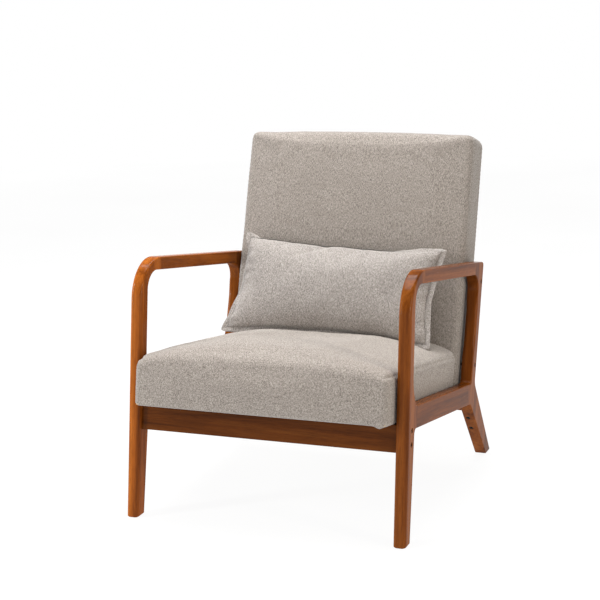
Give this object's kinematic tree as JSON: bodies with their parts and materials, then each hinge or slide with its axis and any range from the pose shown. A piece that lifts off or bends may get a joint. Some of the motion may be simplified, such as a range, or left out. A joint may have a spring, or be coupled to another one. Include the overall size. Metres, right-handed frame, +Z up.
{
  "type": "wooden lounge armchair",
  "caption": "Low lounge chair with bent wooden armrest frames, a sloping box seat, a leaning padded back and a loose lumbar pillow.",
  "frame": {"origin": "middle of the chair's box on the floor, with the soles of all four feet on z = 0", "axes": "+Z up; the sitter faces -Y, so the front legs are at -Y and the back leans towards +Y; +X is on the right of someone who looks at the front"},
  "size_m": [0.65, 0.7666, 0.7856],
  "materials": {
    "walnut_stain": "walnut-brown stain under semi-gloss lacquer, long grain",
    "dowel_beech": "bare beech, glued in",
    "frame_pine": "bare sawn pine",
    "hardboard": "smooth dark hardboard",
    "black_bolt": "black oxide, satin",
    "zinc_steel": "zinc plated",
    "spring_steel": "dark oiled spring wire",
    "foam": "cut polyurethane foam, matte",
    "fibre_filling": "polyester fibre",
    "upholstery": "linen-look weave, heathered grey-beige",
    "pillow_fabric": "the same linen-look weave, heathered grey-beige",
    "black_lining": "thin black non-woven lining",
    "elastic_webbing": "woven elastic webbing"
  },
  "bodies": {
    "chair": {"back_bolts": "black_bolt", "back_cover": "upholstery", "back_foam": "foam", "back_frame_bottom_rail": "frame_pine", "back_frame_inserts": "zinc_steel", "back_frame_left_stile": "frame_pine", "back_frame_right_stile": "frame_pine", "back_frame_top_rail": "frame_pine", "back_panel": "hardboard", "back_webbing": "elastic_webbing", "bracket_screws": "zinc_steel", "front_rail": "walnut_stain", "front_rail_barrel_nuts": "zinc_steel", "front_rail_bolts": "black_bolt", "left_armrest": "walnut_stain", "left_frame_dowels": "dowel_beech", "left_front_leg": "walnut_stain", "left_rear_post": "walnut_stain", "left_side_rail": "walnut_stain", "rear_rail": "walnut_stain", "rear_rail_bolts": "black_bolt", "rear_rail_inserts": "zinc_steel", "right_armrest": "walnut_stain", "right_frame_dowels": "dowel_beech", "right_front_leg": "walnut_stain", "right_rear_post": "walnut_stain", "right_side_rail": "walnut_stain", "seat_brackets": "zinc_steel", "seat_cover": "upholstery", "seat_dust_cover": "black_lining", "seat_foam": "foam", "seat_frame_front_stick": "frame_pine", "seat_frame_left_stick": "frame_pine", "seat_frame_rear_stick": "frame_pine", "seat_frame_right_stick": "frame_pine", "seat_springs": "spring_steel", "spring_clips": "zinc_steel"},
    "pillow": {"pillow_cover": "pillow_fabric", "pillow_filling": "fibre_filling", "pillow_zip": "zinc_steel"}
  },
  "joints": [
    {"name": "pillow_lift", "type": "slide", "parent": "chair", "child": "pillow", "axis": [0, 0.3099, 0.9508], "range_m": [0, 0.35]}
  ]
}
